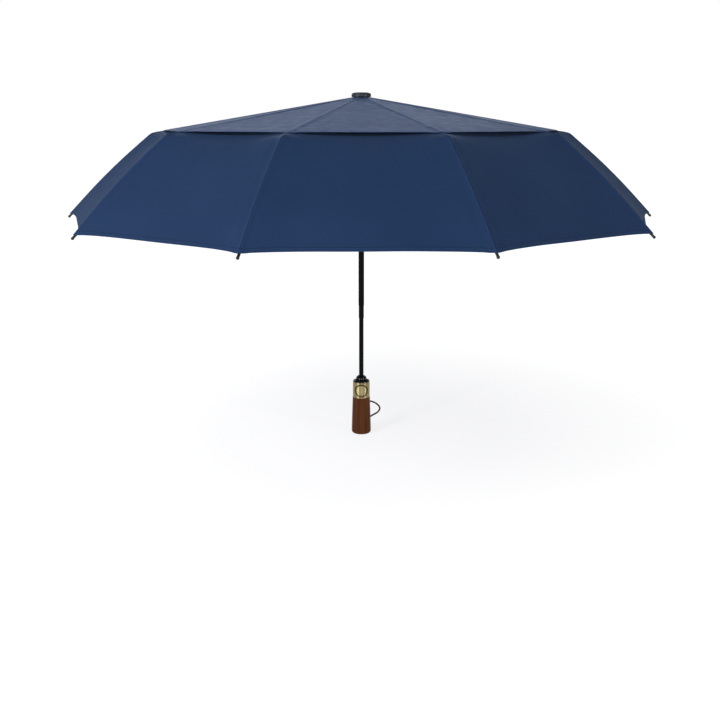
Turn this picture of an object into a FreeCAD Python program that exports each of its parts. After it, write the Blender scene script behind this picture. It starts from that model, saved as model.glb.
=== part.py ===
import FreeCAD, Part
import math
import os

# A compact three-section umbrella with ten ribs, open. Millimetres, +Z up the shaft, the origin at the
# middle of the grip's lower end. The button faces -Y.

V = FreeCAD.Vector
RIBS = 10
FIRST_RIB_DEG = -71.0
STRAP_RIB = 5

# Crown, runner and the pivots that the ribs turn on.
PIVOT_R = 9.5
CROWN_Z = 582.0
TOP_SLOPE = 8.1
E_X, E_Z = 83.85, -5.0
STRETCHER = math.hypot(E_X, E_Z)
TOP_LENGTH = 169.0
KNEE_OFFSET = 3.4
OUTER_PIVOT = (355.0, 527.5)
TIP = (503.5, 391.0)
WIRE_R = 0.55
WIRE_HOLE_R = 0.75

# Rib sections.
RIB_HALF = 2.2
RIB_INNER = 1.7
RIB_HIGH = 1.5
BLADE_HALF = 1.5
WEB = 0.55
EAR_R = 1.5
PIN_R = 0.8
PIN_HOLE_R = 0.82
PIVOT_HOLE_R = 0.87
HEAD_R = 1.25
HEAD = 0.45
ROD_R = 1.4
BALL_R = 2.3

# Shaft tubes: outer radius, wall, lower end, upper end.
LOWER_R, LOWER_Z0, LOWER_Z1 = 4.0, 12.0, 242.0
MIDDLE_R, MIDDLE_Z0, MIDDLE_Z1 = 5.0, 210.0, 416.0
UPPER_R, UPPER_Z0, UPPER_Z1 = 5.8, 397.0, 585.0
NECK_R, NECK_TOP = 4.6, 231.0
WALL = 0.5
GUIDE = 0.06

# Handle.
WOOD_H = 66.5
COLLAR_Z1 = 94.8
COLLAR_R = 15.0
COLLAR_WALL = 0.85
THROAT_Z1 = 104.2
BUTTON_Z = 80.6
BUTTON_R = 10.3
BUTTON_TRAVEL = 2.0
BUTTON_SPRING_Z = 75.6
LATCH_Z = 86.3
LATCH_HOLE_R = 5.0
CORE_R = 7.9
CORE_TOP = 81.2
CORD_R = 1.5
CORD_DIR_DEG = 65.0
CORD_HOLES = (29.6, 16.5)
CORD_START_R = 10.0
CORD_STRAIGHT_R = 22.6
CORD_ROUTE = ((6.5, 37.5, 38.0), (10.5, 54.0, 41.0), (25.5, 65.5, 34.0), (36.0, 60.0, 25.5),
              (31.5, 45.0, 21.5), (20.5, 33.0, 20.0))

# Canopy: radius on a rib line and height of the outer face.
CLOTH = 0.45
VENT = ((4.6, 593.3), (16.0, 592.8), (336.0, 537.8))
MAIN = ((187.0, 559.4), (336.0, 536.4), (352.0, 533.9), (360.4, 531.4), (432.4, 467.7), (499.7, 398.9))

# Tie strap, sewn over a seam and hanging past the rib's tip.
STRAP_WIDE = 22.0
STRAP_THICK = 0.8
STRAP_SEWN = 25.0
STRAP_UP = 93.0
STRAP_HANG = 90.0

Y = V(0, 1, 0)
Z = V(0, 0, 1)


def save(name, shape):
    shape.exportStep("parts/" + name + ".step")


def box(x0, x1, half_y, z0, z1):
    return Part.makeBox(x1 - x0, 2 * half_y, z1 - z0, V(x0, -half_y, z0))


def across(radius, x, z, half_y):
    """A cylinder along Y, centred on the rib's plane."""
    return Part.makeCylinder(radius, 2 * half_y, V(x, -half_y, z), Y)


def plate(points, y0, y1):
    """A flat plate with this outline in XZ, from y0 to y1."""
    wire = Part.makePolygon([V(x, y0, z) for x, z in points + points[:1]])
    return Part.Face(wire).extrude(V(0, y1 - y0, 0))


def both_sides(make):
    return make(RIB_INNER, RIB_HALF).fuse(make(-RIB_HALF, -RIB_INNER))


def cheeks(points, x, z):
    """A pair of ears that reach from the channel's legs to a pivot at x, z."""
    ears = both_sides(lambda y0, y1: plate(points, y0, y1))
    rounds = across(EAR_R, x, z, RIB_HALF).cut(across(EAR_R + 1, x, z, RIB_INNER))
    return ears.fuse(rounds)


def rivet(x, z):
    heads = across(HEAD_R, x, z, RIB_HALF + HEAD).cut(across(HEAD_R + 1, x, z, RIB_HALF))
    return across(PIN_R, x, z, RIB_HALF).fuse(heads).removeSplitter()


def channel(x0, x1, middle, opens):
    """A folded steel channel; opens is -1 with its mouth down."""
    z0, z1 = middle - RIB_HIGH, middle + RIB_HIGH
    inner = (z0 - 1, z1 - WEB) if opens < 0 else (z0 + WEB, z1 + 1)
    return box(x0, x1, RIB_HALF, z0, z1).cut(box(x0 - 1, x1 + 1, RIB_INNER, inner[0], inner[1]))


def top_rib():
    x1, c = TOP_LENGTH, KNEE_OFFSET
    body = channel(7.5, x1 - 3, 0, -1)
    body = body.fuse(across(2.1, 0, 0, BLADE_HALF))
    body = body.fuse(box(0, 13, BLADE_HALF, -RIB_HIGH, RIB_HIGH))
    ear = [(E_X - 5, -1.0), (E_X + 5, -1.0), (E_X + EAR_R, E_Z), (E_X - EAR_R, E_Z)]
    body = body.fuse(cheeks(ear, E_X, E_Z))
    ear = [(x1 - 8, -1.5), (x1 - 2.5, -1.5), (x1 + EAR_R, c), (x1 - EAR_R, c), (x1 - 5, 1.5), (x1 - 8, 1.5)]
    body = body.fuse(cheeks(ear, x1, c))
    body = body.cut(across(WIRE_HOLE_R, 0, 0, 5))
    body = body.cut(across(PIN_HOLE_R, E_X, E_Z, 5)).cut(across(PIN_HOLE_R, x1, c, 5))
    return [body.removeSplitter(), rivet(E_X, E_Z), rivet(x1, c)]


def stretcher():
    body = box(0, STRETCHER, BLADE_HALF, -1.2, 1.2)
    body = body.fuse(across(1.7, 0, 0, BLADE_HALF)).fuse(across(1.7, STRETCHER, 0, BLADE_HALF))
    body = body.cut(box(9, STRETCHER - 9, 1.0, -2, 0.7))
    body = body.cut(across(PIVOT_HOLE_R, 0, 0, 5)).cut(across(WIRE_HOLE_R, STRETCHER, 0, 5))
    return [body.removeSplitter()]


def mid_rib(length):
    c, f = -KNEE_OFFSET, -2 * KNEE_OFFSET
    low, high = c - RIB_HIGH, c + RIB_HIGH
    body = channel(3, length - 3, c, -1)
    blade = [(-1.4, 0), (1.4, 0.4), (9, high), (9, low), (2.5, low)]
    body = body.fuse(plate(blade, -BLADE_HALF, BLADE_HALF)).fuse(across(EAR_R, 0, 0, BLADE_HALF))
    ear = [(length - 8, low), (length - EAR_R, f), (length + EAR_R, f), (length - 2.5, high)]
    body = body.fuse(cheeks(ear + [(length - 8, high)], length, f))
    body = body.cut(across(PIVOT_HOLE_R, 0, 0, 5)).cut(across(PIN_HOLE_R, length, f, 5))
    return [body.removeSplitter(), rivet(length, f)]


def outer_rib(length):
    """Steel bracket, glass-fibre rod and moulded ball tip."""
    c = KNEE_OFFSET
    low, high = c - RIB_HIGH, c + RIB_HIGH
    blade = [(-1.4, 0), (1.4, -0.4), (9, low), (9, high), (2.5, high)]
    bracket = box(3, 26, RIB_HALF, low, high).fuse(plate(blade, -BLADE_HALF, BLADE_HALF))
    bracket = bracket.fuse(across(EAR_R, 0, 0, BLADE_HALF)).cut(across(PIVOT_HOLE_R, 0, 0, 5))
    bracket = bracket.cut(Part.makeCylinder(ROD_R + 0.02, 20, V(10, 0, c), V(1, 0, 0)))
    rod = Part.makeCylinder(ROD_R, length - 15, V(10, 0, c), V(1, 0, 0))
    tip = Part.makeCylinder(1.9, 8, V(length - 9, 0, c), V(1, 0, 0)).fuse(Part.makeSphere(BALL_R, V(length, 0, c)))
    tip = tip.cut(Part.makeCylinder(ROD_R + 0.02, 4.1, V(length - 9, 0, c), V(1, 0, 0)))
    return [bracket.removeSplitter(), rod, tip.removeSplitter()]


def placed(solids, pivot, slope, azimuth):
    """The solids of a rib from its own plane to its place: slope is degrees below level."""
    out = []
    for solid in solids:
        moved = solid.copy()
        moved.rotate(V(0, 0, 0), Y, slope)
        moved.translate(V(pivot[0], 0, pivot[1]))
        moved.rotate(V(0, 0, 0), Z, azimuth)
        out.append(moved)
    return Part.makeCompound(out)


def point_on(pivot, slope, x, z):
    """Where a rib's own point x, z is, as radius and height."""
    a = math.radians(slope)
    return pivot[0] + x * math.cos(a) + z * math.sin(a), pivot[1] - x * math.sin(a) + z * math.cos(a)


def reach(start, end, offset):
    """Length and slope of a rib whose far pivot lies offset above the line of its own x axis."""
    dr, dz = end[0] - start[0], end[1] - start[1]
    far = math.hypot(dr, dz)
    return math.sqrt(far * far - offset * offset), math.degrees(math.atan2(-dz, dr) + math.asin(offset / far))


def frame():
    crown = (PIVOT_R, CROWN_Z)
    knee = point_on(crown, TOP_SLOPE, TOP_LENGTH, KNEE_OFFSET)
    elbow = point_on(crown, TOP_SLOPE, E_X, E_Z)
    mid_length, mid_slope = reach(knee, OUTER_PIVOT, -2 * KNEE_OFFSET)
    outer_length, outer_slope = reach(OUTER_PIVOT, TIP, KNEE_OFFSET)
    lean = math.degrees(math.asin((elbow[0] - PIVOT_R) / STRETCHER))
    kinds = (
        ("top_rib", top_rib(), crown, TOP_SLOPE),
        ("stretcher", stretcher(), elbow, 90 + lean),
        ("mid_rib", mid_rib(mid_length), knee, mid_slope),
        ("outer_rib", outer_rib(outer_length), OUTER_PIVOT, outer_slope),
    )
    for name, solids, pivot, slope in kinds:
        for k in range(RIBS):
            azimuth = FIRST_RIB_DEG + 360.0 / RIBS * k
            save("%s_%d" % (name, k + 1), placed(solids, pivot, slope, azimuth))
    return outer_slope


def turned(points):
    """A solid of revolution about the shaft from (radius, height) points."""
    wire = Part.makePolygon([V(r, 0, z) for r, z in points + points[:1]])
    return Part.Face(wire).revolve(V(0, 0, 0), Z, 360)


def hub(pivot_z, slots_up, bore, body):
    """A turned hub with a radial slot for each rib and a groove for the wire ring."""
    shape = turned(body)
    low, high = (pivot_z - 2.6, pivot_z + 30) if slots_up else (pivot_z - 30, pivot_z + 2.6)
    slot = Part.makeBox(30, 2 * 1.7, high - low, V(bore, -1.7, low))
    for k in range(RIBS):
        cut = slot.copy()
        cut.rotate(V(0, 0, 0), Z, FIRST_RIB_DEG + 360.0 / RIBS * k)
        shape = shape.cut(cut)
    return shape.cut(Part.makeTorus(PIVOT_R, WIRE_R + 0.02, V(0, 0, pivot_z), Z))


def crown():
    z = CROWN_Z
    r = UPPER_R + 0.02
    body = [(r, z - 6), (12.5, z - 6), (12.5, z + 7), (11.5, z + 8), (8, z + 8), (8, z + 10.6)]
    body += [(4, z + 10.6), (4, z + 16), (0, z + 16), (0, z - 4), (5.2, z - 4), (5.2, z + 3), (r, z + 3)]
    save("crown_notch", hub(z, False, 6.9, body))
    save("crown_wire_ring", Part.makeTorus(PIVOT_R, WIRE_R, V(0, 0, z), Z))
    cap = [(4.02, z + 11.6), (16.3, z + 11.6), (16.7, z + 12.2), (16.6, z + 15.6), (15.4, z + 17.9), (11, z + 19.2)]
    cap += [(0, z + 19.6), (0, z + 16.2), (4.02, z + 16.2)]
    save("top_cap", turned(cap))


def runner():
    z = CROWN_Z - 2 * STRETCHER * math.sin(math.radians(TOP_SLOPE) - math.atan2(E_Z, E_X))
    r = UPPER_R + GUIDE
    body = [(r, z - 14), (6.6, z - 15), (9.2, z - 15), (10, z - 14), (10, z - 11), (8.4, z - 10)]
    body += [(8.4, z - 6), (12.5, z - 4), (12.5, z + 4.4), (11.9, z + 5), (r, z + 5)]
    save("runner", hub(z, True, 7.1, body))
    save("runner_wire_ring", Part.makeTorus(PIVOT_R, WIRE_R, V(0, 0, z), Z))


def shaft():
    r, i = LOWER_R, LOWER_R - WALL
    bead = MIDDLE_R - WALL - GUIDE
    top = LOWER_Z1
    lower = [(i, LOWER_Z0), (r, LOWER_Z0), (r, top - 6), (bead, top - 5), (bead, top), (i, top)]
    save("lower_tube", turned(lower))
    r, i, n = MIDDLE_R, MIDDLE_R - WALL, LOWER_R + GUIDE
    bead = UPPER_R - WALL - GUIDE
    top = MIDDLE_Z1
    middle = [(n, MIDDLE_Z0), (NECK_R, MIDDLE_Z0), (NECK_R, NECK_TOP), (r, NECK_TOP + 3), (r, top - 5)]
    middle += [(bead, top - 4), (bead, top), (i, top), (i, NECK_TOP + 4), (n, NECK_TOP + 1)]
    save("middle_tube", turned(middle))
    r, i, n = UPPER_R, UPPER_R - WALL, MIDDLE_R + GUIDE
    upper = [(n, UPPER_Z0), (r - 0.2, UPPER_Z0), (r, UPPER_Z0 + 0.6), (r, UPPER_Z1), (i, UPPER_Z1)]
    upper += [(i, UPPER_Z0 + 4), (n, UPPER_Z0 + 3)]
    save("upper_tube", turned(upper))


def coil(radius, wire_r, turns, length, start, direction):
    """A round-wire compression spring from start along direction."""
    helix = Part.makeHelix(length / turns, length, radius)
    along = V(0, 2 * math.pi * radius, length / turns)
    ring = Part.Wire(Part.makeCircle(wire_r, V(radius, 0, 0), along))
    spring = Part.Wire(helix.Edges).makePipeShell([ring], True, True)
    spring.rotate(V(0, 0, 0), V(1, 0, 0), 90 if direction == "-y" else 0)
    spring.translate(V(*start))
    return spring


def springs():
    save("opening_spring", coil(2.2, 0.4, 47, 561.0, (0, 0, 15.0), "z"))
    save("button_spring", coil(2.6, 0.3, 4, 5.3, (0, -6.15, BUTTON_SPRING_Z), "-y"))


def grip():
    wood = [(8, 3), (8, 0), (13.8, 0), (15.6, 0.5), (16.8, 1.8), (17.2, 3.6), (17.1, 12), (16.5, 32)]
    wood += [(15.4, WOOD_H - 0.5), (14.9, WOOD_H), (8, WOOD_H)]
    body = turned(wood)
    a = math.radians(CORD_DIR_DEG)
    for z in CORD_HOLES:
        body = body.cut(Part.makeCylinder(CORD_R + 0.1, 20, V(0, 0, z), V(math.cos(a), math.sin(a), 0)))
    save("wooden_grip", body.removeSplitter())


def collar():
    r, z0, z1 = COLLAR_R, WOOD_H, COLLAR_Z1
    inner = r - COLLAR_WALL
    body = turned([(inner, z0), (r, z0), (r, z1 - 0.4), (r - 0.4, z1), (inner, z1)])
    save("brass_collar", body.cut(Part.makeCylinder(BUTTON_R + 0.25, 20, V(0, 0, BUTTON_Z), -Y)))
    z0, z1 = COLLAR_Z1, THROAT_Z1
    throat = [(LATCH_HOLE_R, z0 - 3), (inner - 0.05, z0 - 3), (inner - 0.05, z0), (r - 0.4, z0), (r - 0.9, z0 + 1.6)]
    throat += [(10.6, z0 + 3.2), (9.6, z0 + 4.4), (8.9, z1 - 2.0), (7.6, z1 - 0.5), (6.6, z1), (5.8, z1)]
    throat += [(LATCH_HOLE_R, z1 - 3)]
    save("throat_collar", turned(throat))


def button():
    disc = Part.makeCylinder(BUTTON_R, 20, V(0, 0, BUTTON_Z), -Y)
    disc = disc.common(Part.makeCylinder(COLLAR_R + 0.3, 40, V(0, 0, 55), Z))
    disc = disc.cut(Part.makeBox(40, 40, 60, V(-20, -8.5, 50)))
    disc = disc.cut(Part.makeCylinder(3.4, 3.2, V(0, -8.5, BUTTON_SPRING_Z), -Y))
    ring = Part.makeCylinder(8.3, 20, V(0, 0.55 - COLLAR_R, BUTTON_Z), -Y)
    ring = ring.cut(Part.makeCylinder(7.7, 30, V(0, 0, BUTTON_Z), -Y))
    save("push_button", disc.cut(ring))
    r, z0, z1 = LATCH_HOLE_R, LATCH_Z, LATCH_Z + 1.3
    latch = Part.makeBox(12.4, 16.4, z1 - z0, V(-6.2, -8.5, z0))
    for y in (0, -BUTTON_TRAVEL):
        latch = latch.cut(Part.makeCylinder(r, 9, V(0, y, z0 - 1), Z))
    latch = latch.cut(Part.makeBox(2 * r, BUTTON_TRAVEL, 9, V(-r, -BUTTON_TRAVEL, z0 - 1)))
    save("latch_plate", latch)


def handle_core():
    """Moulded core: it closes the grip's bore, seats the collar and holds the lower tube."""
    r, c, top = LOWER_R + 0.02, CORE_R, CORE_TOP
    seat = COLLAR_R - COLLAR_WALL - 0.1
    body = [(0, 0), (c, 0), (c, WOOD_H), (seat, WOOD_H), (seat, WOOD_H + 2.1), (5.8, WOOD_H + 2.1), (5.8, top)]
    body += [(r, top), (r, LOWER_Z0 - 0.05), (0, LOWER_Z0 - 0.05)]
    save("handle_core", turned(body))


def tube_path(points):
    """One wire of straight runs joined by tangent arcs, each arc as large as its two runs allow."""
    edges, last = [], points[0]
    for a, b, c in zip(points, points[1:], points[2:]):
        back, on = a - b, c - b
        run = 0.45 * min(back.Length, on.Length)
        turn = math.pi - back.getAngle(on)
        radius = run / math.tan(turn / 2)
        print("cord arc radius %.1f, turn %.0f" % (radius, math.degrees(turn)))
        back.normalize()
        on.normalize()
        start, end = b + back * run, b + on * run
        middle = back + on
        middle.normalize()
        top = b + middle * (radius / math.cos(turn / 2) - radius)
        edges.append(Part.LineSegment(last, start).toShape())
        edges.append(Part.Arc(start, top, end).toShape())
        last = end
    edges.append(Part.LineSegment(last, points[-1]).toShape())
    return Part.Wire(edges)


def wrist_cord():
    a = math.radians(CORD_DIR_DEG)
    out, back = ([V(r * math.cos(a), r * math.sin(a), z) for r in (CORD_START_R, CORD_STRAIGHT_R)] for z in CORD_HOLES)
    path = tube_path(out + [V(*p) for p in CORD_ROUTE] + back[::-1])
    ring = Part.Wire(Part.makeCircle(CORD_R, out[0], path.Edges[0].tangentAt(0)))
    cord = path.makePipeShell([ring], True, True)
    print("cord length %.1f, volume over section %.1f" % (path.Length, cord.Volume / math.pi / CORD_R**2))
    save("wrist_cord", cord)


def faceted(profile):
    """A ten-sided cover of even thickness whose outer face has this profile on each rib line."""
    inner = []
    for i, (r, z) in enumerate(profile):
        r0, z0 = profile[max(i - 1, 0)]
        r1, z1 = profile[min(i + 1, len(profile) - 1)]
        long = math.hypot(r1 - r0, z1 - z0)
        inner.append((r + CLOTH * (z1 - z0) / long, z - CLOTH * (r1 - r0) / long))
    loop = list(profile) + inner[::-1]
    loop = loop + loop[:1]
    faces = []
    for k in range(RIBS):
        a, b = (math.radians(FIRST_RIB_DEG + 360.0 / RIBS * (k + n)) for n in (0, 1))
        for (r0, z0), (r1, z1) in zip(loop, loop[1:]):
            corners = [(r0, z0, a), (r1, z1, a), (r1, z1, b), (r0, z0, b)]
            points = [V(r * math.cos(t), r * math.sin(t), z) for r, z, t in corners]
            faces.append(Part.Face(Part.makePolygon(points + points[:1])))
    shell = Part.makeShell(faces)
    shell.sewShape()
    solid = Part.makeSolid(shell)
    return solid if solid.Volume > 0 else solid.reversed()


def canopy():
    save("canopy_main", faceted(MAIN))
    save("canopy_vent", faceted(VENT))


def strap(slope):
    """Sewn over the seam above one outer rib, along it to the tip, then hanging straight down."""
    length = reach(OUTER_PIVOT, TIP, KNEE_OFFSET)[0]
    t = STRAP_THICK

    def on(x, z):
        return point_on(OUTER_PIVOT, slope, x, z)

    low, crest = 6.9, 10.05
    start, middle, end = length - STRAP_UP - STRAP_SEWN, 97.3, length + 3
    bend, under = on(end, low + t), on(end, low)
    foot = bend[1] - 3 - STRAP_HANG
    side = [on(start, 9.6), on(start, 9.6 + t), on(middle, crest + t), bend, (bend[0] + 1.2, bend[1] - 3)]
    side += [(bend[0] + 1.2, foot), (bend[0] + 1.2 - t, foot), (bend[0] + 1.2 - t, under[1] - 2.6), under]
    side += [on(middle, crest)]
    body = plate(side, -STRAP_WIDE / 2, STRAP_WIDE / 2)
    for y in (-1, 1):
        corner = [V(0, y * (STRAP_WIDE / 2 + 1), foot - 1), V(0, y * (STRAP_WIDE / 2 + 1), foot + 12), V(0, 0, foot - 1)]
        body = body.cut(Part.Face(Part.makePolygon(corner + corner[:1])).extrude(V(600, 0, 0)))
    body.rotate(V(0, 0, 0), Z, FIRST_RIB_DEG + 360.0 / RIBS * (STRAP_RIB - 1))
    save("tie_strap", body)


os.makedirs("parts", exist_ok=True)
outer_slope = frame()
crown()
runner()
shaft()
springs()
grip()
collar()
button()
handle_core()
wrist_cord()
canopy()
strap(outer_slope)
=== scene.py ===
import math

import bpy
import numpy as np
from mathutils import Matrix, Vector


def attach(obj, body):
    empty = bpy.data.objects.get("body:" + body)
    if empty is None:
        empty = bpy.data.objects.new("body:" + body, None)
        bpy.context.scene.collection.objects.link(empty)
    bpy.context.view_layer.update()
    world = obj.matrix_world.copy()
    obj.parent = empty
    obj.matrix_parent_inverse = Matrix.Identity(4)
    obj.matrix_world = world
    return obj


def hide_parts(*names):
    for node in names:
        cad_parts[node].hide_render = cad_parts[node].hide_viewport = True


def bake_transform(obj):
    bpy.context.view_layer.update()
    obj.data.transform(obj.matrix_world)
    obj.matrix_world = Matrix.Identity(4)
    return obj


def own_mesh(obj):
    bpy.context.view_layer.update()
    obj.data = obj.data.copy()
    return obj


# A compact ten-rib umbrella, open. Metres, +Z up the shaft, the origin at the middle of the grip's lower end.

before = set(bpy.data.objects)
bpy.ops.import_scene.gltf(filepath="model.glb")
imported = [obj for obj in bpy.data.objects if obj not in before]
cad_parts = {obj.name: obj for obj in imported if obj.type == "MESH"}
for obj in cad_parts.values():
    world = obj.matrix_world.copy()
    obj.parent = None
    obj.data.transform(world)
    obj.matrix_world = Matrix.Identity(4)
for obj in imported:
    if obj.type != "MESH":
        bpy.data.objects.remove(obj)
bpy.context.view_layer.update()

RIBS = 10
HALF = math.pi / RIBS
FIRST = math.radians(-71.0)
STRAP_RIB = 5
MM = 0.001
BUTTON_Z = 0.0806


# ---------------------------------------------------------------- camera, floor and light

def add_camera():
    data = bpy.data.cameras.new("camera")
    data.lens, data.sensor_width = 43.7, 36.0
    data.shift_x, data.shift_y = -0.0018, -0.1339
    data.clip_start, data.clip_end = 0.05, 100.0
    camera = bpy.data.objects.new("camera", data)
    camera.location = (0.0, -1.510, 0.549)
    camera.rotation_euler = (math.radians(90 - 9.10), 0.0, 0.0)
    bpy.context.scene.collection.objects.link(camera)
    bpy.context.scene.camera = camera


def node(tree, kind, inputs=None, **settings):
    made = tree.nodes.new("ShaderNode" + kind)
    for name, value in settings.items():
        setattr(made, name, value)
    for name, value in (inputs or {}).items():
        if isinstance(value, bpy.types.NodeSocket):
            tree.links.new(value, made.inputs[name])
        else:
            made.inputs[name].default_value = value
    return made


def add_floor():
    size = 60.0
    mesh = bpy.data.meshes.new("floor")
    corners = [(-size, -size, 0), (size, -size, 0), (size, size, 0), (-size, size, 0)]
    mesh.from_pydata(corners, [], [(0, 1, 2, 3)])
    floor = bpy.data.objects.new("floor", mesh)
    floor.location.z = -0.0002
    bpy.context.scene.collection.objects.link(floor)
    paint = bpy.data.materials.new("floor_white")
    paint.use_nodes = True
    tree = paint.node_tree
    tree.nodes.clear()
    dull = node(tree, "BsdfDiffuse", {"Color": (0.85, 0.85, 0.86, 1)})
    glow = node(tree, "Emission", {"Color": (1, 1, 1, 1), "Strength": 1.30})
    # Painted light and shade: the floor glows as well as taking light, with a 0.62 share within 0.25 m of the
    # grip rising to 0.80 at 1 m, so a painted shade lies round the umbrella and the far floor glows white.
    where = node(tree, "TexCoord").outputs["Object"]
    away = node(tree, "VectorMath", {0: where}, operation="LENGTH").outputs["Value"]
    share = node(tree, "MapRange", {"Value": away, "From Min": 0.25, "From Max": 1.0,
                                    "To Min": 0.62, "To Max": 0.80})
    mix = node(tree, "MixShader", {"Fac": share.outputs[0], 1: dull.outputs[0], 2: glow.outputs[0]})
    node(tree, "OutputMaterial", {"Surface": mix.outputs[0]})
    mesh.materials.append(paint)


def add_light(name, place, aim, power, size, colour=(1, 1, 1)):
    data = bpy.data.lights.new(name, "AREA")
    data.energy, data.color = power, colour
    data.shape, data.size, data.size_y = "RECTANGLE", *size
    light = bpy.data.objects.new(name, data)
    light.location = place
    light.visible_camera = False
    light.rotation_euler = (Vector(aim) - Vector(place)).to_track_quat("-Z", "Y").to_euler()
    bpy.context.scene.collection.objects.link(light)


def add_studio():
    scene = bpy.context.scene
    scene.view_settings.view_transform = "Standard"
    world = bpy.data.worlds.new("studio")
    world.use_nodes = True
    tree = world.node_tree
    seen = node(tree, "LightPath").outputs["Is Camera Ray"]
    power = node(tree, "MapRange", {"Value": seen, "To Min": 0.18, "To Max": 1.0}).outputs[0]
    tree.links.new(power, tree.nodes["Background"].inputs["Strength"])
    tree.nodes["Background"].inputs["Color"].default_value = (1.0, 1.0, 1.0, 1)
    scene.world = world
    add_light("key", (-1.9, -1.7, 1.9), (0, 0, 0.35), 44, (1.2, 1.2))
    add_light("fill", (0.3, -2.7, 0.9), (0, 0, 0.3), 7.5, (0.8, 1.2), (1.0, 0.94, 0.9))
    add_light("left_strip", (-1.48, -1.63, 0.55), (0, 0, 0.3), 9, (0.12, 0.9))
    add_light("right_strip", (1.72, -1.32, 0.55), (0, 0, 0.3), 9, (0.12, 0.9))
    add_light("back", (-0.2, 2.8, 1.7), (0, 0, 0.55), 14, (2.4, 1.4), (0.78, 0.88, 1.0))


# ---------------------------------------------------------------- materials

def shader(name, colour, rough, **sockets):
    """A material with its Principled shader; socket names are given with _ for a space."""
    made = bpy.data.materials.new(name)
    made.use_nodes = True
    tree = made.node_tree
    skin = tree.nodes["Principled BSDF"]
    skin.inputs["Base Color"].default_value = (*colour, 1)
    skin.inputs["Roughness"].default_value = rough
    for key, value in sockets.items():
        skin.inputs[key.replace("_", " ")].default_value = value
    return made, tree, skin


def math_node(tree, operation, a, b=0.0, c=0.0):
    made = tree.nodes.new("ShaderNodeMath")
    made.operation = operation
    for socket, value in zip(made.inputs, (a, b, c)):
        if isinstance(value, bpy.types.NodeSocket):
            tree.links.new(value, socket)
        else:
            socket.default_value = value
    return made.outputs[0]


def place(tree, scale=(1, 1, 1)):
    coords = node(tree, "TexCoord")
    return node(tree, "Mapping", {"Vector": coords.outputs["Object"], "Scale": scale}).outputs[0]


def noise(tree, where, scale, detail=3.0, rough=0.5):
    made = node(tree, "TexNoise", {"Vector": where, "Scale": scale, "Detail": detail, "Roughness": rough})
    return made.outputs["Fac"]


def ramp(tree, value, low, high, stops=(0.3, 0.7)):
    made = node(tree, "ValToRGB", {"Fac": value})
    for stop, place_on, colour in zip(made.color_ramp.elements, stops, (low, high)):
        stop.position, stop.color = place_on, (*colour, 1)
    return made.outputs["Color"]


def spread(tree, value, low, high, to_low, to_high):
    return node(tree, "MapRange", {"Value": value, "From Min": low, "From Max": high, "To Min": to_low,
                                   "To Max": to_high}).outputs[0]


def bump(tree, skin, height, distance, strength=1.0, after=None):
    made = node(tree, "Bump", {"Height": height, "Distance": distance, "Strength": strength})
    if after is not None:
        tree.links.new(after, made.inputs["Normal"])
    tree.links.new(made.outputs[0], skin.inputs["Normal"])
    return made.outputs[0]


def attribute(tree, name):
    return node(tree, "Attribute", attribute_name=name).outputs["Fac"]


def near(tree, value, middle, width):
    """1 where value is within width of middle, with soft sides."""
    off = math_node(tree, "ABSOLUTE", math_node(tree, "SUBTRACT", value, middle))
    return spread(tree, off, width, 0.5 * width, 0.0, 1.0)


def stitches(tree, along):
    """1 on the dashes of a stitched line and 0 in its gaps."""
    beat = math_node(tree, "FRACT", math_node(tree, "MULTIPLY", along, 360.0))
    return math_node(tree, "GREATER_THAN", beat, 0.32)


def cloth(name, colour, light, sheen, gloss, rough=0.5):
    """Pongee: a plain weave with a soft sheen, stitched down both sides of its rib seam and along its hem,
    with painted shade in the seam line and the hem's fold.
    """
    made, tree, skin = shader(name, colour, rough, Specular_IOR_Level=gloss, Sheen_Weight=sheen,
                              Sheen_Roughness=0.45, Sheen_Tint=(0.46, 0.66, 1.0, 1))
    where = place(tree)
    off, run, hem = (attribute(tree, n) for n in ("off", "run", "hem"))
    tone = ramp(tree, noise(tree, where, 9.0, 4.0, 0.55), colour, light, (0.35, 0.75))
    side = math_node(tree, "ABSOLUTE", off)
    dash = stitches(tree, run)
    seam = math_node(tree, "MULTIPLY", near(tree, side, 0.0016, 0.00042), dash)
    cross = stitches(tree, off)
    edge = math_node(tree, "MULTIPLY", near(tree, hem, 0.0052, 0.00042), cross)
    thread = math_node(tree, "MAXIMUM", seam, edge)
    # Painted shade: where off is near 0 (the seam line over a rib, and a strap's two edges) and 6.4 mm in from
    # the hem's edge, where it is turned in, the colour is darkened towards 0.45 of the cloth's, as shade in a
    # groove.
    groove = math_node(tree, "MAXIMUM", near(tree, side, 0.0, 0.0005), near(tree, hem, 0.0064, 0.0006))
    groove_shade_colour = tuple(0.45 * c for c in colour)
    pale = tuple(min(1.0, 1.9 * c) for c in light)
    groove_shaded = node(tree, "MixRGB", {"Fac": math_node(tree, "MULTIPLY", groove, 0.6), "Color1": tone,
                                 "Color2": (*groove_shade_colour, 1)})
    sewn = node(tree, "MixRGB", {"Fac": math_node(tree, "MULTIPLY", thread, 0.55), "Color1": groove_shaded.outputs[0],
                                 "Color2": (*pale, 1)})
    tree.links.new(sewn.outputs[0], skin.inputs["Base Color"])
    thread_pitch = 0.00045
    warp = math_node(tree, "SINE", math_node(tree, "MULTIPLY", off, 2 * math.pi / thread_pitch))
    weft = math_node(tree, "SINE", math_node(tree, "MULTIPLY", run, 2 * math.pi / thread_pitch))
    weave = bump(tree, skin, math_node(tree, "MULTIPLY", warp, weft), 0.00003, 0.5)
    crease = bump(tree, skin, noise(tree, place(tree, (1, 1, 1.6)), 38.0, 5.0, 0.6), 0.0009, 0.35, weave)
    bump(tree, skin, math_node(tree, "SUBTRACT", thread, groove), 0.00035, 0.8, crease)
    uneven = spread(tree, noise(tree, where, 60.0), 0.3, 0.7, rough - 0.05, rough + 0.06)
    tree.links.new(uneven, skin.inputs["Roughness"])
    return made


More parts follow.
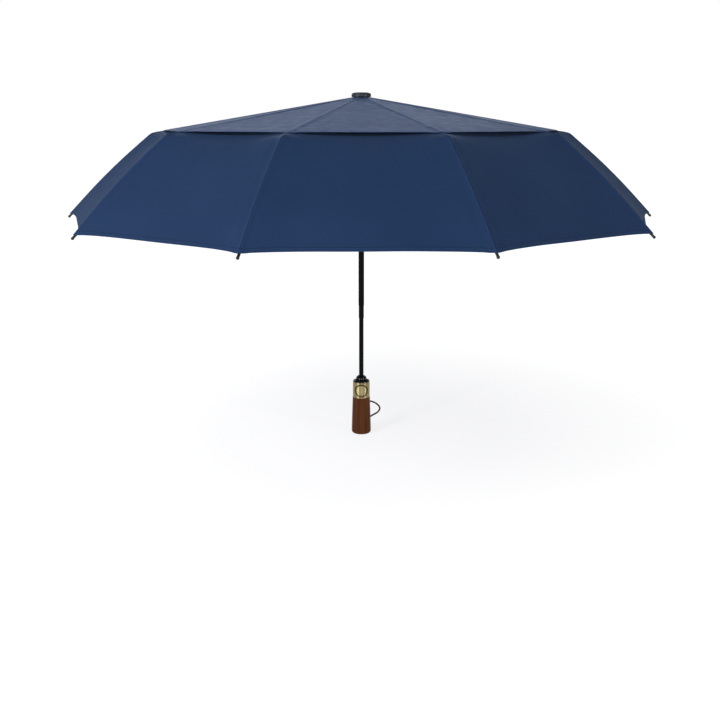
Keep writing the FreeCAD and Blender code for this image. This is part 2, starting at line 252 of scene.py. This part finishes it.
def walnut():
    made, tree, skin = shader("walnut", (0.1, 0.035, 0.018), 0.36, Specular_IOR_Level=0.03, Coat_Weight=0.015,
                              Coat_Roughness=0.12)
    flow = place(tree, (26, 26, 1.6))
    warp = noise(tree, flow, 2.2, 4.0, 0.6)
    rings = node(tree, "TexWave", {"Vector": place(tree, (1, 1, 0.06)), "Scale": 95.0, "Distortion": 5.0,
                                   "Detail": 3.0, "Detail Scale": 1.4}, wave_type="BANDS", bands_direction="X")
    pores = noise(tree, place(tree, (900, 900, 22)), 1.0, 3.0, 0.7)
    base = ramp(tree, warp, (0.052, 0.014, 0.006), (0.124, 0.043, 0.015), (0.3, 0.72))
    veins = ramp(tree, rings.outputs["Fac"], (0.034, 0.010, 0.005), (0.136, 0.048, 0.017), (0.1, 0.8))
    grain = node(tree, "MixRGB", {"Fac": 0.38, "Color1": base, "Color2": veins})
    pits = spread(tree, pores, 0.30, 0.42, 0.55, 0.0)
    full = node(tree, "MixRGB", {"Fac": pits, "Color1": grain.outputs[0], "Color2": (0.022, 0.008, 0.005, 1)})
    tree.links.new(full.outputs[0], skin.inputs["Base Color"])
    bump(tree, skin, pores, 0.00012, 0.25)
    tree.links.new(spread(tree, warp, 0.3, 0.7, 0.26, 0.38), skin.inputs["Roughness"])
    return made


def button_gap_shade_ring(tree, radius, width):
    """1 on a ring about the push button's axis, on the side that it faces: where shade in the gap round the
    button is painted.
    """
    where = node(tree, "SeparateXYZ", {"Vector": node(tree, "TexCoord").outputs["Object"]}).outputs
    above = math_node(tree, "ABSOLUTE", math_node(tree, "SUBTRACT", where["Z"], BUTTON_Z))
    high = math_node(tree, "POWER", above, 2.0)
    wide = math_node(tree, "POWER", math_node(tree, "ABSOLUTE", where["X"]), 2.0)
    ring = near(tree, math_node(tree, "SQRT", math_node(tree, "ADD", high, wide)), radius, width)
    return math_node(tree, "MULTIPLY", ring, math_node(tree, "LESS_THAN", where["Y"], 0.0))


def brushed(name, colour, rough, stretch, strength, marks, turned=0.0, rim=None):
    """Metal with fine lines and a few handling marks; turned draws its highlights out along the shaft, and rim
    paints a dark ring of shade in the gap round the push button.
    """
    made, tree, skin = shader(name, colour, rough, Metallic=1.0, Anisotropic=turned, Anisotropic_Rotation=0.25)
    if turned:
        round_shaft = node(tree, "Tangent", direction_type="RADIAL", axis="Z")
        tree.links.new(round_shaft.outputs[0], skin.inputs["Tangent"])
    lines = noise(tree, place(tree, stretch), 1.0, 2.0, 0.5)
    smear = noise(tree, place(tree), 130.0, 4.0, 0.6)
    low = tuple(c * (1 - marks) for c in colour)
    tone = ramp(tree, smear, low, colour, (0.28, 0.62))
    if rim:
        # Painted shade: a ring round the push button is darkened to a tenth of the metal's colour, as the
        # shade in the gap between button and collar.
        shade = math_node(tree, "MULTIPLY", button_gap_shade_ring(tree, *rim), 0.85)
        tone = node(tree, "MixRGB", {"Fac": shade, "Color1": tone,
                                     "Color2": (*(0.10 * c for c in colour), 1)}).outputs[0]
    tree.links.new(tone, skin.inputs["Base Color"])
    tree.links.new(spread(tree, smear, 0.3, 0.7, rough * 0.9, rough * 1.12), skin.inputs["Roughness"])
    bump(tree, skin, lines, 0.00004, strength)
    return made


def painted(name, low, high, rough, grain, depth, **sockets):
    """Coated metal or moulded plastic: an even tone with a fine texture."""
    made, tree, skin = shader(name, high, rough, **sockets)
    fine = noise(tree, place(tree), grain, 3.0, 0.6)
    tree.links.new(ramp(tree, noise(tree, place(tree), 70.0), low, high), skin.inputs["Base Color"])
    tree.links.new(spread(tree, fine, 0.3, 0.7, rough * 0.8, rough * 1.25), skin.inputs["Roughness"])
    bump(tree, skin, fine, depth, 0.5)
    return made


def leather():
    made, tree, skin = shader("cord_leather", (0.06, 0.022, 0.015), 0.42, Specular_IOR_Level=0.15,
                              Coat_Weight=0.05, Coat_Roughness=0.3)
    pebble = node(tree, "TexVoronoi", {"Vector": place(tree), "Scale": 900.0}).outputs["Distance"]
    tree.links.new(ramp(tree, noise(tree, place(tree), 160.0), (0.035, 0.012, 0.009), (0.085, 0.032, 0.022)),
                   skin.inputs["Base Color"])
    bump(tree, skin, pebble, 0.0001, 0.5)
    return made


def make_materials():
    return {
        "walnut": walnut(),
        "brass": brushed("brass", (0.46, 0.375, 0.19), 0.44, (40, 40, 2600), 0.12, 0.10, 0.95,
                         (0.0110, 0.0011)),
        "brass_button": brushed("brass_button", (0.52, 0.43, 0.22), 0.42, (300, 300, 300), 0.1, 0.10, 0.95,
                                (0.0099, 0.0010)),
        "spring_steel": brushed("spring_steel", (0.56, 0.56, 0.58), 0.28, (500, 500, 500), 0.2, 0.3),
        "black_gloss": painted("black_gloss", (0.004, 0.004, 0.004), (0.008, 0.007, 0.008), 0.2, 400, 0.00002,
                               Specular_IOR_Level=0.3, Coat_Weight=0.15, Coat_Roughness=0.08),
        "core_plastic": painted("core_plastic", (0.018, 0.012, 0.010), (0.03, 0.02, 0.018), 0.5, 700,
                                0.00004),
        "black_tube": painted("black_tube", (0.003, 0.003, 0.003), (0.006, 0.006, 0.006), 0.30, 500, 0.00003,
                              Specular_IOR_Level=0.04),
        "black_nylon": painted("black_nylon", (0.010, 0.010, 0.011), (0.018, 0.018, 0.020), 0.45, 900,
                               0.00004),
        "cap_black": painted("cap_black", (0.010, 0.014, 0.026), (0.020, 0.026, 0.044), 0.38, 500, 0.00003),
        "rib_metal": painted("rib_metal", (0.014, 0.014, 0.016), (0.028, 0.028, 0.031), 0.34, 600, 0.00003,
                             Metallic=0.4),
        "rod_black": painted("rod_black", (0.009, 0.009, 0.010), (0.018, 0.018, 0.019), 0.4, 800, 0.00003),
        "cord_leather": leather(),
        "canopy_cloth": cloth("canopy_cloth", (0.0153, 0.0371, 0.0980), (0.0177, 0.0413, 0.1075), 0.08, 0.04),
        # The vent layer is the same pongee as the canopy; its base colour is painted bluer, and its sheen and
        # gloss raised, for the top light that it catches.
        "vent_cloth": cloth("vent_cloth", (0.0127, 0.0345, 0.1280), (0.0147, 0.0385, 0.1390), 0.12, 0.12),
        "strap_cloth": cloth("strap_cloth", (0.0147, 0.0360, 0.0960), (0.0171, 0.0403, 0.1055), 0.08, 0.04),
    }


SLOT_OF = {
    "wooden_grip": "walnut", "brass_collar": "brass", "push_button": "brass_button",
    "throat_collar": "black_gloss", "handle_core": "core_plastic", "latch_plate": "spring_steel",
    "lower_tube": "black_tube", "middle_tube": "black_tube",
    "upper_tube": "black_tube", "crown_notch": "black_nylon", "crown_wire_ring": "spring_steel",
    "runner": "black_nylon", "runner_wire_ring": "spring_steel", "top_cap": "cap_black",
}
RIB_SLOTS = dict.fromkeys(("top_rib", "stretcher", "mid_rib", "outer_rib"), "rib_metal")


def finish_nodes(skins):
    """Every CAD node that shows gets its procedural material. Cloth, cord and springs are built below."""
    for name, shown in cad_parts.items():
        slot = SLOT_OF.get(name) or RIB_SLOTS.get(name.rsplit("_", 1)[0])
        if slot is None:
            continue
        for held in shown.material_slots:
            held.material = skins[slot]
        if not shown.material_slots:
            shown.data.materials.append(skins[slot])


# ---------------------------------------------------------------- wrist cord

def add_cord(skins):
    """The leather loop, from the grip's upper hole round to its lower one. The sizes are in millimetres."""
    turn = math.radians(65)
    upper_hole, lower_hole, grip_r, cord_r = 29.6, 16.5, 16.6, 1.5
    inside, outside = ((r * math.cos(turn), r * math.sin(turn)) for r in (10.0, 22.6))
    route = [(*inside, upper_hole), (*outside, upper_hole), (6.5, 37.5, 38), (10.5, 54, 41), (25.5, 65.5, 34),
             (36, 60, 25.5), (31.5, 45, 21.5), (20.5, 33, 20), (*outside, lower_hole), (*inside, lower_hole)]
    curve = bpy.data.curves.new("wrist_cord_leather", "CURVE")
    curve.dimensions = "3D"
    curve.bevel_depth, curve.bevel_resolution, curve.resolution_u = cord_r * MM, 5, 16
    curve.use_fill_caps = True
    line = curve.splines.new("NURBS")
    line.points.add(len(route) - 1)
    for point, (x, y, z) in zip(line.points, route):
        point.co = (x * MM, y * MM, z * MM, 1)
    line.order_u = 3
    line.use_endpoint_u = True
    cord = bpy.data.objects.new("wrist_cord_leather", curve)
    bpy.context.scene.collection.objects.link(cord)
    curve.materials.append(skins["cord_leather"])
    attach(cord, "handle")
    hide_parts("wrist_cord")


# ---------------------------------------------------------------- springs

def coil(name, radius, wire, turns, length, skins, start_turn=0.0, sides=8, steps=24):
    """A round-wire spring wound about Z from z = 0. The sizes are in millimetres."""
    share = np.linspace(0, 1, int(turns * steps) + 1)
    angle = 2 * math.pi * (start_turn + turns * share)
    rise = length / (2 * math.pi * turns)
    outward = np.stack([np.cos(angle), np.sin(angle), 0 * angle], 1)
    along = np.stack([-radius * np.sin(angle), radius * np.cos(angle), rise + 0 * angle], 1)
    upward = np.cross(outward, along / math.hypot(radius, rise))
    middle = radius * outward + np.stack([0 * angle, 0 * angle, length * share], 1)
    round_wire = [(math.cos(a), math.sin(a)) for a in 2 * math.pi * np.arange(sides) / sides]
    rings = np.stack([middle + wire * (c * outward + s * upward) for c, s in round_wire], 1)
    last = (len(rings) - 1) * sides
    faces = [(i + j, i + (j + 1) % sides, i + sides + (j + 1) % sides, i + sides + j)
             for i in range(0, last, sides) for j in range(sides)]
    faces += [tuple(range(sides))[::-1], tuple(range(last, last + sides))]
    mesh = bpy.data.meshes.new(name)
    mesh.from_pydata((rings.reshape(-1, 3) * MM).tolist(), [], faces)
    mesh.polygons.foreach_set("use_smooth", [True] * len(mesh.polygons))
    mesh.materials.append(skins["spring_steel"])
    made = bpy.data.objects.new(name, mesh)
    bpy.context.scene.collection.objects.link(made)
    return made


def add_spring(spring, body, replaced):
    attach(spring, body)
    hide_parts(replaced)
    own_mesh(spring)


def add_springs(skins):
    """On the umbrella the springs shorten as the tubes slide in and as the button is pressed; here the opening
    spring is split in two, its lower part on the handle and its upper part on the upper tube, and the button
    spring goes on the handle.
    """
    foot, top, turns = 15.0, 576.0, 47
    middle_travel, upper_travel = 126.0, 161.0
    split = foot + (top - foot) * middle_travel / (middle_travel + upper_travel)
    lower_turns = turns * (split - foot) / (top - foot)
    lower = coil("opening_spring_lower", 2.2, 0.4, lower_turns, split - foot, skins)
    lower.data.transform(Matrix.Translation((0, 0, foot * MM)))
    add_spring(lower, "handle", "opening_spring")
    upper = coil("opening_spring_upper", 2.2, 0.4, turns - lower_turns, top - split, skins, lower_turns)
    upper.data.transform(Matrix.Translation((0, 0, split * MM)))
    add_spring(upper, "upper", "opening_spring")
    inner, length, z, travel = -6.15, 5.3, 75.6, 2.0
    button = coil("button_spring_coil", 2.6, 0.3, 4, length, skins)
    button.data.transform(Matrix.Translation((0, inner * MM, z * MM)) @ Matrix.Rotation(math.pi / 2, 4, "X"))
    add_spring(button, "handle", "button_spring")


# ---------------------------------------------------------------- cloth

def rows_along(points, cuts, counts):
    """Rows along a profile with rounded corners. counts are the rows from one corner's middle to the next."""
    points = [np.array(p, float) for p in points]
    path, marks = [points[0]], [0]
    for before, corner, after, cut in zip(points, points[1:], points[2:], cuts):
        a = corner + (before - corner) * min(1.0, cut / np.linalg.norm(before - corner))
        b = corner + (after - corner) * min(1.0, cut / np.linalg.norm(after - corner))
        bend = [((1 - t) ** 2) * a + 2 * t * (1 - t) * corner + t * t * b for t in np.linspace(0, 1, 17)]
        marks.append(len(path) + 8)
        path += bend
    path.append(points[-1])
    marks.append(len(path) - 1)
    path = np.array(path)
    long = np.concatenate([[0], np.cumsum(np.linalg.norm(np.diff(path, axis=0), axis=1))])
    where = [np.linspace(long[a], long[b], n + 1)[(i > 0):] for i, (a, b, n) in
             enumerate(zip(marks, marks[1:], counts))]
    where = np.concatenate(where)
    rows = np.stack([np.interp(where, long, path[:, i]) for i in (0, 1)], axis=1)
    return rows, where


def smooth(x, low, high):
    t = np.clip((x - low) / (high - low), 0, 1)
    return t * t * (3 - 2 * t)


def waves(points, length, seed, count=6):
    """Smooth, seeded undulation from -1 to 1 over the row frame."""
    made = np.random.default_rng(seed)
    total = np.zeros(points.shape[:-1])
    for _ in range(count):
        way = made.normal(size=3)
        way = way / np.linalg.norm(way) * 2 * math.pi / (length * made.uniform(0.7, 1.5))
        total += np.sin(points @ way + made.uniform(0, 2 * math.pi))
    return total / count


def pucker(run, off, k, seed):
    """Small gathers that the seam's stitching pulls in beside a rib, in millimetres."""
    made = np.random.default_rng(1000 * seed + k)
    phase = made.uniform(0, 2 * math.pi, 6)
    side = np.sign(off)
    far = np.abs(off)
    a = np.sin(2 * math.pi * run / 15.5 + phase[0] + side * phase[1] + 1.4 * np.sin(run / 23.0 + phase[2]))
    b = np.sin(2 * math.pi * run / 8.3 + phase[3] + side * phase[4] + 1.1 * np.sin(run / 12.0 + phase[5]))
    live = 0.55 + 0.45 * np.sin(run / 37.0 + phase[1] * 2)
    return live * (0.50 * a + 0.28 * b) * np.exp(-far / 9.0) * (1 - np.exp(-far / 2.0))


ROLL_ROWS = 5


class Layer:
    """One layer of the canopy, as ten wedges centred on the ribs and sharing their edges."""

    def __init__(self, rib, mid, cuts, mid_cuts, counts, columns, seed, roll, hem_bend=0.0):
        self.counts, self.columns, self.roll = counts, columns, roll
        rib_rows, run = rows_along(rib, cuts, counts)
        mid_rows, _ = rows_along(mid, mid_cuts, counts)
        self.run = run
        edge = run[-1] - run
        step = np.gradient(rib_rows, axis=0)
        out = np.stack([-step[:, 1], step[:, 0]], axis=1)
        out /= np.linalg.norm(out, axis=1, keepdims=True)
        v = np.abs(np.linspace(-1, 1, 2 * columns + 1)) ** 1.7
        side = np.sign(np.linspace(-1, 1, 2 * columns + 1))
        power = 2.4 + hem_bend * (1 - smooth(edge, 0.0, 55.0))
        fall = 1 - (1 - v[None, :]) ** power[:, None]
        rz = rib_rows[:, None, :] + (mid_rows - rib_rows)[:, None, :] * fall[:, :, None]
        d, u = rz[:, :, 0] * math.cos(HALF), (1 - v)[None, :] * rz[:, :, 0] * math.sin(HALF)
        x = d * math.cos(HALF) + u * math.sin(HALF)
        y = side[None, :] * (d * math.sin(HALF) - u * math.cos(HALF))
        off = side[None, :] * v[None, :] * rz[:, :, 0] * math.sin(HALF)
        lean = HALF * side * np.minimum(1.0, v * 12)
        self.wedges, self.outs = [], []
        for k in range(RIBS):
            azimuth = FIRST + 2 * HALF * k
            c, s = math.cos(azimuth), math.sin(azimuth)
            points = np.stack([x * c - y * s, x * s + y * c, rz[:, :, 1]], axis=2)
            turn = azimuth + lean
            normal = np.stack([out[:, :1] * np.cos(turn), out[:, :1] * np.sin(turn),
                               out[:, 1:] * np.ones((1, len(v)))], axis=2)
            shift = pucker(run[:, None], off, k, seed) * smooth(run[:, None], 10, 40)
            shift += 0.30 * (1 - smooth(np.abs(off), 1.8, 2.6))
            groove = np.exp(-((np.abs(off) - 8.5 - 2.0 * np.sin(run[:, None] / 41.0 + k)) / 3.6) ** 2)
            shift -= 0.55 * groove * smooth(run[:, None], 10, 60)
            shift += 0.45 * waves(points, 95.0, seed + 7) * smooth(np.abs(off), 2, 25)
            self.wedges.append(points + normal * shift[:, :, None])
            self.outs.append(normal)
        self.off = off
        self.edge = edge
        if roll:
            self.add_roll()
        self.find_normals()

    def add_roll(self):
        """The hem: turned in and sewn down."""
        thick = 0.7
        for k in range(RIBS):
            rows = self.wedges[k]
            out = self.outs[k][-1]
            along = rows[-1] - rows[-2]
            along /= np.linalg.norm(along, axis=1, keepdims=True)
            edge = rows[-1]
            turned = [edge + 0.25 * along - 0.12 * out, edge + 0.33 * along - 0.5 * thick * out,
                      edge + 0.2 * along - 0.9 * thick * out, edge - 0.3 * along - thick * out]
            depth = np.interp(self.run[-1] - self.roll, self.run, np.arange(len(self.run)))
            low = int(depth)
            inside = rows[low] + (rows[low + 1] - rows[low]) * (depth - low) - (thick - 0.05) * out
            turned.append(inside)
            self.wedges[k] = np.concatenate([rows, np.array(turned)])
        extra = np.array([0.0, 0.0, 0.0, 0.3, self.roll])
        self.edge = np.concatenate([self.edge, extra])
        self.run = np.concatenate([self.run, self.run[-1] + np.arange(1, ROLL_ROWS + 1) * 0.3])
        self.off = np.concatenate([self.off, np.repeat(self.off[-1:], ROLL_ROWS, axis=0)])

    def find_normals(self):
        """One normal for each point of the whole layer, so that no edge between wedges shows."""
        points = np.array(self.wedges)
        rows, columns = points.shape[1:3]
        flat = points.reshape(-1, 3)
        _, index = np.unique(np.round(flat, 3), axis=0, return_inverse=True)
        index = index.reshape(RIBS, rows, columns)
        total = np.zeros((index.max() + 1, 3))
        a, b, c, d = points[:, :-1, :-1], points[:, :-1, 1:], points[:, 1:, 1:], points[:, 1:, :-1]
        face = np.cross(c - a, b - d)
        for corner in (index[:, :-1, :-1], index[:, :-1, 1:], index[:, 1:, 1:], index[:, 1:, :-1]):
            np.add.at(total, corner.ravel(), face.reshape(-1, 3))
        total /= np.maximum(np.linalg.norm(total, axis=1, keepdims=True), 1e-12)
        if total[index[0, 2, self.columns]][2] < 0:
            total = -total
            self.flip = True
        else:
            self.flip = False
        self.normals = total[index]

    def piece(self, name, k, first, last, body, skin, columns=None, sink=0.0):
        """Rows first to last of wedge k as an object; columns limits it to those beside the rib."""
        middle = self.columns
        c0, c1 = (0, 2 * middle) if columns is None else (middle - columns, middle + columns)
        points = self.wedges[k][first:last + 1, c0:c1 + 1]
        normals = self.normals[k][first:last + 1, c0:c1 + 1]
        points = points - sink * normals
        rows, wide = points.shape[:2]
        faces = []
        for i in range(rows - 1):
            for j in range(wide - 1):
                a = i * wide + j
                quad = (a, a + 1, a + wide + 1, a + wide)
                faces.append(quad[::-1] if self.flip else quad)
        mesh = bpy.data.meshes.new(name)
        mesh.from_pydata((points.reshape(-1, 3) * MM).tolist(), [], faces)
        mesh.update()
        if mesh.polygons[0].normal.dot(Vector(normals[0, 0])) < 0:
            mesh.flip_normals()
        for key, values in (("off", self.off[first:last + 1, c0:c1 + 1]),
                            ("run", np.repeat(self.run[first:last + 1, None], wide, axis=1)),
                            ("hem", np.repeat(self.edge[first:last + 1, None], wide, axis=1))):
            held = mesh.attributes.new(key, "FLOAT", "POINT")
            held.data.foreach_set("value", (values * MM).astype(np.float32).ravel())
        mesh.polygons.foreach_set("use_smooth", [True] * len(mesh.polygons))
        mesh.normals_split_custom_set_from_vertices(normals.reshape(-1, 3).tolist())
        made = bpy.data.objects.new(name, mesh)
        bpy.context.scene.collection.objects.link(made)
        mesh.materials.append(skin)
        if body:
            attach(made, body)
        area = sum(p.area for p in mesh.polygons)
        return made, area

    def size(self, first, last):
        return abs(self.run[last] - self.run[first]) * MM


def add_canopy(skins):
    main = Layer(rib=[(187, 559.4), (357.0, 533.8), (433.4, 468.9), (502.2, 396.3)],
                 mid=[(187, 557.6), (350.2, 529.9), (428.5, 463.0), (493.2, 397.3)],
                 cuts=[5.0, 60.0], mid_cuts=[42.0, 60.0], counts=[20, 21, 21], columns=22, seed=3, roll=7.0,
                 hem_bend=3.0)
    vent = Layer(rib=[(4.6, 593.3), (16, 592.8), (28, 590.74), (177.3, 565.08), (336, 537.8)],
                 mid=[(4.6, 593.3), (16, 592.8), (28, 590.6), (177.3, 563.4), (334.5, 537.9)],
                 cuts=[4, 1, 30], mid_cuts=[4, 1, 40], counts=[4, 3, 24, 26], columns=18, seed=11, roll=5.0)
    knee, main_hem = 20, 62
    split, turn, vent_hem = 7, 31, 57
    for k in range(RIBS):
        n = k + 1
        main_slot, vent_slot = skins["canopy_cloth"], skins["vent_cloth"]
        mid_piece, a = main.piece("canopy_mid_%d" % n, k, 0, knee, "mid_%d" % n, main_slot)
        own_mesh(mid_piece)
        main.size(0, knee)
        outer, a = main.piece("canopy_outer_%d" % n, k, knee, main_hem + ROLL_ROWS, "outer_%d" % n,
                               main_slot)
        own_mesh(outer)
        main.size(knee, main_hem)
        top, a = vent.piece("canopy_top_%d" % n, k, split, turn, "top_%d" % n, vent_slot)
        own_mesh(top)
        vent.size(split, turn)
        edge, a = vent.piece("canopy_vent_%d" % n, k, turn, vent_hem + ROLL_ROWS, "mid_%d" % n,
                             vent_slot)
        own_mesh(edge)
        vent.size(turn, vent_hem)
        crown, a = vent.piece("canopy_crown_%d" % n, k, 0, split, None, vent_slot)
        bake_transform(crown)
        lower, _ = main.piece("canopy_knee_patch_%d" % n, k, knee - 3, knee + 5, None, main_slot,
                              6, 0.5)
        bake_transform(lower)
        upper, _ = vent.piece("canopy_top_patch_%d" % n, k, turn - 3, turn + 3, None, vent_slot,
                              6, 0.5)
        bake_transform(upper)
        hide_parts("canopy_main")
        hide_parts("canopy_vent")


# ---------------------------------------------------------------- tie strap

def add_strap(skins):
    pivot, tip, offset = np.array((355.0, 527.5)), np.array((503.5, 391.0)), 3.4
    far = np.linalg.norm(tip - pivot)
    length = math.sqrt(far * far - offset * offset)
    slope = math.atan2(pivot[1] - tip[1], tip[0] - pivot[0]) + math.asin(offset / far)

    def on(x, z):
        return (pivot[0] + x * math.cos(slope) + z * math.sin(slope),
                pivot[1] - x * math.sin(slope) + z * math.cos(slope))

    bend = on(length + 3, 7.3)
    path = [on(length - 118, 10.1), on(97.3, 10.5), (bend[0] + 0.8, bend[1] - 0.6),
            (bend[0] + 0.8, bend[1] - 93)]
    rows, run = rows_along(path, [12, 5], [6, 26, 26])
    step = np.gradient(rows, axis=0)
    out = np.stack([-step[:, 1], step[:, 0]], axis=1)
    out /= np.linalg.norm(out, axis=1, keepdims=True)
    across = np.linspace(-1, 1, 13)
    left = run[-1] - run
    half = 11.0 * np.minimum(1.0, 0.12 + 0.88 * np.clip(left / 11.0, 0, 1))
    ring_points, rim = [], []
    azimuth = FIRST + 2 * HALF * (STRAP_RIB - 1)
    c, s = math.cos(azimuth), math.sin(azimuth)
    for i, (r, z) in enumerate(rows):
        ring = []
        for face in (1, -1):
            for a in (across if face > 0 else across[::-1]):
                thick = face * 0.38 * (1 - 0.75 * abs(a) ** 12)
                wave = 0.5 * math.sin(run[i] / 19.0 + 1.2 * a) * smooth(run[i], 120, 170)
                rr, zz = r + out[i, 0] * (thick + wave), z + out[i, 1] * (thick + wave)
                y = a * half[i]
                ring.append((rr * c - y * s, rr * s + y * c, zz))
                rim.append(half[i] * (1 - abs(a)))
        ring_points.append(ring)
    wide = len(ring_points[0])
    points = np.array(ring_points).reshape(-1, 3) * MM
    faces = [(i * wide + j, i * wide + (j + 1) % wide, (i + 1) * wide + (j + 1) % wide, (i + 1) * wide + j)
             for i in range(len(rows) - 1) for j in range(wide)]
    faces += [tuple(range(wide))[::-1], tuple(range((len(rows) - 1) * wide, len(rows) * wide))]
    mesh = bpy.data.meshes.new("tie_strap_band")
    mesh.from_pydata(points.tolist(), [], faces)
    mesh.update()
    far_from_hem = np.full(len(points), 50.0)
    for key, values in (("off", np.array(rim)), ("run", np.repeat(run, wide)), ("hem", far_from_hem)):
        held = mesh.attributes.new(key, "FLOAT", "POINT")
        held.data.foreach_set("value", (values * MM).astype(np.float32))
    mesh.polygons.foreach_set("use_smooth", [True] * len(mesh.polygons))
    strap = bpy.data.objects.new("tie_strap_band", mesh)
    bpy.context.scene.collection.objects.link(strap)
    mesh.materials.append(skins["strap_cloth"])
    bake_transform(strap)
    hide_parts("tie_strap")


add_camera()
materials = make_materials()
add_cord(materials)
add_springs(materials)
add_floor()
add_studio()
finish_nodes(materials)
add_canopy(materials)
add_strap(materials)
